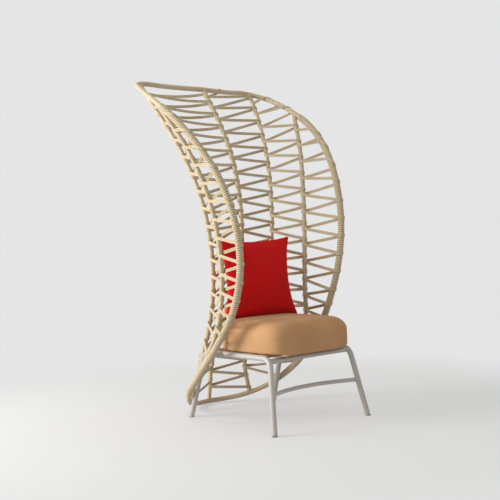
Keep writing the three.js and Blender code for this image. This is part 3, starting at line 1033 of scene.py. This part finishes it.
def lay_band(bm, turns, slack_at, seed):
    centres = [middle_of(turn) for turn in turns]
    for strand, shift in enumerate(CORD_PLACES):
        route, outs, presses = [], [], []
        for i, turn in enumerate(turns):
            before = centres[i - 1] if i else centres[i + 1]
            after = centres[i + 1] if i + 1 < len(turns) else centres[i - 1]
            bend, bend_outs = hook(turn, shift, before, after)
            if route:
                start, end, out = route[-1], bend[0], outs[-1]
                wander = 0.002 * noise.noise(Vector((seed, i, strand * 0.7)))
                slack = slack_at(start.z) + wander
                for k in range(1, RUN_STEPS):
                    t = k / RUN_STEPS
                    drop = 4 * t * (1 - t) * (end - start).length * slack
                    route.append(start.lerp(end, t) - Vector((0, 0, drop)))
                    outs.append(out.lerp(bend_outs[0], t))
                    presses.append(max(0.0, 1 - min(k, RUN_STEPS - k) / 2))
            route += bend
            outs += bend_outs
            presses += [1.0] * len(bend)
        tone = 0.5 + 0.5 * noise.noise(Vector((strand * 1.7, seed, 3)))
        frames = flattened_frames(route, outs, presses)
        lay_stock(bm, route, CORD, 8, tone=tone, frames=frames)


# %% Turns of each column
# The left pole, the right pole and the heights of the band's turns on each of them
COLUMNS = {
    "side_left": (
        "rim_left",
        "outer_left",
        [1450, 1364, 1278, 1194, 1105, 1023, 931, 840, 755, 670, 588, 505, 425],
        [1386, 1302, 1218, 1134, 1050, 965, 879, 797, 710, 626, 545, 461, 377],
    ),
    "middle_left": (
        "outer_left",
        "inner_left",
        [1417, 1334, 1251, 1168, 1085, 1002, 919, 836, 753, 670, 587, 504, 420],
        [1364, 1281, 1198, 1110, 1027, 940, 860, 778, 697, 614, 535, 457, 368],
    ),
    "back_left": (
        "inner_left",
        "spine",
        [
            1605, 1545, 1489, 1420, 1337, 1253, 1171, 1083, 1000, 913, 833, 751, 667,
            584, 505, 421, 338, 255, 172, 89,
        ],
        [
            1574, 1507, 1440, 1371, 1303, 1230, 1152, 1080, 1002, 932, 857, 778, 699,
            626, 547, 465, 383, 290, 207, 125,
        ],
    ),
    "back_right": (
        "spine",
        "inner_right",
        [
            1542, 1476, 1406, 1335, 1269, 1194, 1123, 1052, 975, 902, 827, 748, 669,
            589, 508, 426, 343, 260, 177, 95,
        ],
        [
            1571, 1492, 1412, 1333, 1254, 1174, 1094, 1015, 936, 857, 778, 699, 620,
            541, 462, 383, 304, 225, 145, 74,
        ],
    ),
    "middle_right": (
        "inner_right",
        "outer_right",
        [1459, 1376, 1298, 1219, 1139, 1060, 980, 900, 820, 742, 663, 585, 506, 427],
        [1448, 1361, 1277, 1190, 1102, 1018, 932, 848, 767, 688, 602, 518, 436, 355],
    ),
    "side_right": (
        "outer_right",
        "rim_right",
        [1425, 1337, 1250, 1162, 1077, 990, 906, 825, 738, 651, 569, 494, 412],
        [1394, 1320, 1225, 1133, 1036, 947, 860, 774, 686, 595, 524, 456, 385],
    ),
}
# More turns above and below: a pole and a height, or two rows of the rim
ABOVE = {
    "back_left": [("spine", 1628)],
    "back_right": [(1.0, 1.2), ("spine", 1606), ("inner_right", 1640)],
    "middle_left": [("inner_left", 1530), ("outer_left", 1497), ("inner_left", 1447)],
    "middle_right": [
        ("inner_right", 1600),
        (4.65, 5.37),
        ("inner_right", 1537),
        (5.78, 6.04),
    ],
}
BELOW = {
    "middle_left": [("outer_left", 336), ("inner_left", 285)],
    "middle_right": [
        ("inner_right", 348),
        ("outer_right", 275),
        ("inner_right", 268),
        (14.0, 14.25),
        ("inner_right", 190),
        (15.0, 15.1),
    ],
    "side_right": [("outer_right", 330), ("rim_right", 310)],
}


# %% Six columns of lacing
def turn_at(place, left):
    """A turn round a pole at a height, or round the rim from row to row."""
    first, second = place
    if isinstance(first, str):
        return pole_turn(first, second, first == left)
    return bar_turn(first, second)


def taut(height):
    """How far a run sags, as a share of its length. Most are tied tight all the way."""
    return 0.004


def loose_above(height):
    """The left back column hangs looser the higher it is."""
    return 0.008 + 0.03 * min(max((height - 0.9) / 0.6, 0), 1)


for seed, (name, column) in enumerate(COLUMNS.items()):
    left, right, left_heights, right_heights = column
    turns = [turn_at(place, left) for place in ABOVE.get(name, [])]
    for left_height, right_height in zip(left_heights, right_heights):
        turns.append(pole_turn(left, left_height, True))
        turns.append(pole_turn(right, right_height, False))
    turns += [turn_at(place, left) for place in BELOW.get(name, [])]
    bm = new_stock()
    lay_band(bm, turns, loose_above if name == "back_left" else taut, seed)
    add_piece(f"cord_lacing_{name}", bm, "cord", cord_finish, f"lacing_{name}")
    print(len(turns), "turns of the band")

# %% [markdown]
# ## Brackets
# A short welded spacer runs from each side tube to the rim beside it, and a clip from
# each rear leg to the rim behind it. They are coped like the rails, at both ends.

# %% Spacers and clips
SPACER_RADIUS, SPACER_Y = 0.008, 394
CLIP_RADIUS, CLIP_Z = 0.007, 143
for side, hand in SIDES.items():
    rim = rim_path(*WOUND_ROWS, hand)
    _, _, rear_corner, rear_foot = frame_corners(hand)
    on_tube = mm(hand * SEAT_TUBE_X, SPACER_Y, SEAT_TUBE_Z)
    on_leg = rear_foot.lerp(rear_corner, CLIP_Z / SEAT_TUBE_Z)
    starts = {
        f"shell_spacer_{side}": (on_tube, SPACER_RADIUS),
        f"leg_clip_{side}": (on_leg, CLIP_RADIUS),
    }
    for name, (start, radius) in starts.items():
        end = min(rim.points, key=lambda p: (p - start).length)
        near = Path([p for p in rim.points if (p - end).length < 0.05])
        points = Path([start, end]).even(0.004)
        bm = coped_tube(points, radius, 24, frame_tubes[side], (near, WOUND))
        add_piece(f"welded_{name}", bm, "frame", powder_coat, name, sharp=50)

# %% [markdown]
# ## The seat cushion
# A box cushion is a soft block whose top crowns and whose sides pull in between the
# corners. A cube divided into a grid and drawn onto a rounded block gives the resting
# form, and it narrows at the back, where the shell closes in. A voxel remesh gives the
# cover even faces, and cloth simulation then fills it: pressure pushes it out from
# inside, as foam and wadding do, and gives the uneven surface that plain shapes lack.


# %% A rounded block
def soft_block(cells, shape):
    bm = bmesh.new()
    bmesh.ops.create_cube(bm, size=2)
    bmesh.ops.subdivide_edges(bm, edges=bm.edges, cuts=cells - 1, use_grid_fill=True)
    for vert in bm.verts:
        vert.co = shape(*vert.co)
    return bm


def gather(value):
    return math.sin(math.pi / 2 * value)


# %% Fill a cover
FILLING_PRESSURE = 4
FILLING_FRAMES = 20


def fill_cover(piece, voxel, most):
    """Blows a cover up with cloth pressure. No point moves further than most."""
    scene = bpy.context.scene
    remesh = piece.modifiers.new("even_cloth", "REMESH")
    remesh.mode = "VOXEL"
    remesh.voxel_size = voxel
    graph = bpy.context.evaluated_depsgraph_get()
    even = bpy.data.meshes.new_from_object(piece.evaluated_get(graph))
    piece.modifiers.clear()
    piece.data = even
    rest = [v.co.copy() for v in even.vertices]
    cloth = piece.modifiers.new("filling", "CLOTH")
    cloth.settings.quality = 5
    cloth.settings.use_pressure = True
    cloth.settings.uniform_pressure_force = FILLING_PRESSURE
    cloth.settings.effector_weights.gravity = 0
    cloth.point_cache.frame_start = 1
    cloth.point_cache.frame_end = FILLING_FRAMES
    for number in range(1, FILLING_FRAMES + 1):
        scene.frame_set(number)
    graph = bpy.context.evaluated_depsgraph_get()
    moved = [v.co.copy() for v in piece.evaluated_get(graph).data.vertices]
    piece.modifiers.clear()
    scene.frame_set(1)
    for vert, start, end in zip(even.vertices, rest, moved):
        shift = end - start
        vert.co = start + shift * min(1.0, most / max(shift.length, 1e-9))
    bm = bmesh.new()
    bm.from_mesh(even)
    bmesh.ops.smooth_vert(
        bm,
        verts=bm.verts,
        factor=0.5,
        use_axis_x=True,
        use_axis_y=True,
        use_axis_z=True,
    )
    bm.to_mesh(even)
    bm.free()
    even.shade_smooth()
    finer = piece.modifiers.new("finer", "SUBSURF")
    finer.levels = finer.render_levels = 1
    print(piece.name, "has", len(even.vertices), "points after filling")


# %% Shape of the cushion
SEAT_TOP, SEAT_GAP = 340, 0.3
HALF_BLOCK = 250  # half the block's width, on which its edges are rounded
HALF_WIDTH, HALF_DEPTH, HALF_THICK = 253, 270, 61
CUSHION_MIDDLE = 280  # behind the front feet
TOP_EDGE, BOTTOM_EDGE = 46, 9  # radii of its edges
CROWN, FRONT_SAG, DRAW_IN = 20, 12, 2


def cushion_shape(x, y, z):
    x, y = gather(x), gather(y)
    reach = max(abs(x), abs(y))
    if reach:
        corner = ((x / reach) ** 6 + (y / reach) ** 6) ** (1 / 6)
        x, y = x / corner, y / corner
    # In section, the top edge is rounded widely and the bottom edge narrowly.
    radius = TOP_EDGE if z > 0 else BOTTOM_EDGE
    flat, wall = HALF_BLOCK - radius, HALF_THICK - radius
    out, up = reach * HALF_BLOCK - flat, abs(z) * HALF_THICK - wall
    if out > 0 and up > 0:
        pull = radius / math.hypot(out, up)
        x *= (flat + out * pull) / (reach * HALF_BLOCK)
        y *= (flat + out * pull) / (reach * HALF_BLOCK)
        z = math.copysign(wall + up * pull, z) / HALF_THICK
    back = max(0.0, (y - 0.1) / 0.9)
    taper = 1 - 0.6 * back**3
    crown = CROWN * (1 - x**4) * (1 - y**4) * max(0.0, z)
    draw_in = DRAW_IN * (1 - y * y) * (1 - z * z)
    # Nothing carries the cushion in front of the first rail, so its lower edge sags.
    sag = FRONT_SAG * min(max((-0.88 - y) / 0.1, 0), 1) * max(0.0, -z)
    return mm(
        (HALF_WIDTH - draw_in * abs(x)) * x * taper,
        CUSHION_MIDDLE + HALF_DEPTH * y,
        SEAT_TOP + SEAT_GAP + HALF_THICK * (1 + z) + crown - sag,
    )


# %% Seat cushion
bm = soft_block(32, cushion_shape)
seat_cushion = add_piece(
    "tan_seat_cushion", bm, "seat_fabric", seat_cloth, "seat_cushion"
)
fill_cover(seat_cushion, voxel=0.0075, most=0.006)

# %% [markdown]
# ## The throw pillow
# A throw pillow is two squares sewn together and stuffed: thick in the middle, thin
# along the seam, with sides that pull in and corners that stay sharp. The same rounded
# block makes it, with its thickness gathered into the seam, and the same cloth pressure
# fills it. It is shaped upright and then turned and leaned back as it stands on the
# cushion's crown.


# %% Shape of the pillow
PILLOW_WIDE, PILLOW_HIGH = 223, 205  # half its width and height at the corners
SIDES_IN, TOP_IN = 34, 22  # how far the middles of its edges pull in
SPREAD, LIFT = 6, 7  # its weight spreads the lower corners, the crown lifts the middle
SEAM, STUFFING = 7, 120  # thickness at the seam, and added in the middle
PILLOW_MIDDLE = 202.5  # above its lower edge


def pillow_shape(x, y, z):
    x, y = gather(x), gather(y)
    full = ((1 - x * x) * (1 - y * y)) ** 0.55
    low, top = max(0.0, -y), max(0.0, y)
    wide = PILLOW_WIDE * x - SIDES_IN * x * (1 - y * y) + SPREAD * x * low * low
    high = PILLOW_HIGH * y - TOP_IN * top * (1 - x * x) + LIFT * low * (1 - x**4)
    thick = z * (SEAM + STUFFING * full) / 2
    return Vector((wide, -thick, PILLOW_MIDDLE + high))


# %% Throw pillow
PILLOW_RIGHT, PILLOW_SETBACK = 5, 405
SOLID_THICK, SOLID_CROWN = 122, 9  # of the cushion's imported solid
SOLID_FRONT, SOLID_DEPTH = 4, 552
back_there = 2 * (PILLOW_SETBACK - SOLID_FRONT) / SOLID_DEPTH - 1
crown_there = SOLID_CROWN * (1 - back_there**2)
pillow_base = SEAT_TOP + SEAT_GAP + SOLID_THICK + crown_there + SEAT_GAP
pillow_turn = (
    Matrix.Translation(mm(PILLOW_RIGHT, PILLOW_SETBACK, pillow_base))
    @ Matrix.Rotation(-math.atan(0.06), 4, "Z")
    @ Matrix.Rotation(-math.atan(0.1), 4, "X")
)
bm = soft_block(28, lambda x, y, z: pillow_turn @ (pillow_shape(x, y, z) / 1000))
throw_pillow = add_piece(
    "red_throw_pillow", bm, "pillow_fabric", pillow_cloth, "throw_pillow"
)
fill_cover(throw_pillow, voxel=0.006, most=0.007)

# %% [markdown]
# ## Floor, backdrop and light
# The chair stands on a pale floor in front of a pale wall, lit softly from behind its
# left side and from above. The world gives the even light. To the camera and in
# reflections it shows the wall's colour instead, so the background can be pale without
# pouring more light on the chair. The floor partly glows with the same colour, which
# softens the chair's shadow, and a little way out it fades into that colour altogether,
# as a paper sweep does, with no horizon.

# %% Which rays see the backdrop
def seen_rays(tree):
    """1 for the rays of the camera, reflections and clear bodies, 0 for the rest."""
    rays = tree.nodes.new("ShaderNodeLightPath")
    total = rays.outputs["Is Camera Ray"]
    for name in ("Is Glossy Ray", "Is Transmission Ray"):
        both = tree.nodes.new("ShaderNodeMath")
        both.operation = "MAXIMUM"
        tree.links.new(total, both.inputs[0])
        tree.links.new(rays.outputs[name], both.inputs[1])
        total = both.outputs[0]
    return total


# %% Floor
PALE = screen(229, 229, 229)
FADE_FROM, FADE_TO = 0.6, 2.2  # metres out from the chair's middle
LEAST_GLOW = 0.48
floor_finish = Finish(
    "pale_floor",
    Roughness=0.95,
    Base_Color=screen(206, 206, 205),
    Specular_IOR_Level=0.1,
)
tree = floor_finish.tree
out_there = floor_finish.node(
    "ShaderNodeVectorMath", {0: floor_finish.coordinates()}, operation="LENGTH"
)
far = floor_finish.between(out_there.outputs["Value"], FADE_FROM, FADE_TO)
even = floor_finish.math("MAXIMUM", far, LEAST_GLOW)
fade = floor_finish.math("MULTIPLY", even, seen_rays(tree))
glow = floor_finish.node("ShaderNodeEmission", {"Color": PALE, "Strength": 1.0})
mix = floor_finish.node(
    "ShaderNodeMixShader",
    {0: fade, 1: floor_finish.shader.outputs[0], 2: glow.outputs[0]},
)
tree.links.new(mix.outputs[0], tree.nodes["Material Output"].inputs[0])
bm = bmesh.new()
bmesh.ops.create_grid(bm, x_segments=1, y_segments=1, size=30)
mesh = bpy.data.meshes.new("floor")
bm.to_mesh(mesh)
bm.free()
mesh.materials.append(floor_finish.material)
floor = bpy.data.objects.new("floor", mesh)
bpy.context.scene.collection.objects.link(floor)
print("floor is", 2 * floor.data.vertices[-1].co.x, "m wide")

# %% World
world = bpy.data.worlds.new("soft_studio")
bpy.context.scene.world = world
world.use_nodes = True
tree = world.node_tree
sky = tree.nodes["Background"]
sky.inputs["Color"].default_value = (1, 1, 1, 1)
sky.inputs["Strength"].default_value = 0.7
wall = tree.nodes.new("ShaderNodeBackground")
wall.inputs["Color"].default_value = PALE
choose = tree.nodes.new("ShaderNodeMixShader")
tree.links.new(seen_rays(tree), choose.inputs[0])
tree.links.new(sky.outputs[0], choose.inputs[1])
tree.links.new(wall.outputs[0], choose.inputs[2])
tree.links.new(choose.outputs[0], tree.nodes["World Output"].inputs[0])
print("world:", world.name)


# %% Lamps
def soft_lamp(name, place, target, size, power):
    lamp = bpy.data.lights.new(name, "AREA")
    lamp.shape = "SQUARE"
    lamp.size = size
    lamp.energy = power
    thing = bpy.data.objects.new(name, lamp)
    thing.location = place
    aim = Vector(target) - Vector(place)
    thing.rotation_euler = aim.to_track_quat("-Z", "Y").to_euler()
    bpy.context.scene.collection.objects.link(thing)
    print(name, power, "W")


soft_lamp("left_window", (-3.8, 2.0, 1.9), (0, 0, 0.8), size=2.2, power=250)
soft_lamp("top_light", (-0.6, -0.4, 4.2), (0, 0, 0.6), size=2.5, power=12)

# %% [markdown]
# ## The camera
# The photograph was taken from the chair's front left, from about half the chair's
# height and with the camera rolled slightly. Its place came from fitting the four feet,
# the seat and the rim. The three axes of the view are worked out from its three angles.

# %% Camera
FOCAL_PIXELS, PHOTO_PIXELS, SENSOR = 883, 500, 36
turn, tip, roll = math.radians(39.83), math.radians(0.70), math.radians(-2.37)
level_right = Vector((math.cos(turn), -math.sin(turn), 0))
level_ahead = Vector((math.sin(turn), math.cos(turn), 0))
ahead = level_ahead * math.cos(tip) - Vector((0, 0, math.sin(tip)))
above = level_right.cross(ahead)
right = level_right * math.cos(roll) + above * math.sin(roll)
top = above * math.cos(roll) - level_right * math.sin(roll)
eye = Vector((-2.792, -2.878 - FRONT_FEET / 1000, 0.860))
camera_data = bpy.data.cameras.new("photo_camera")
camera_data.sensor_width = SENSOR
camera_data.lens = FOCAL_PIXELS / PHOTO_PIXELS * SENSOR
camera = bpy.data.objects.new("photo_camera", camera_data)
facing = Matrix((right, top, -ahead)).transposed().to_4x4()
camera.matrix_world = Matrix.Translation(eye) @ facing
bpy.context.scene.collection.objects.link(camera)
bpy.context.scene.camera = camera
bpy.context.scene.view_settings.view_transform = "Standard"
print("camera at", [round(v, 3) for v in eye])
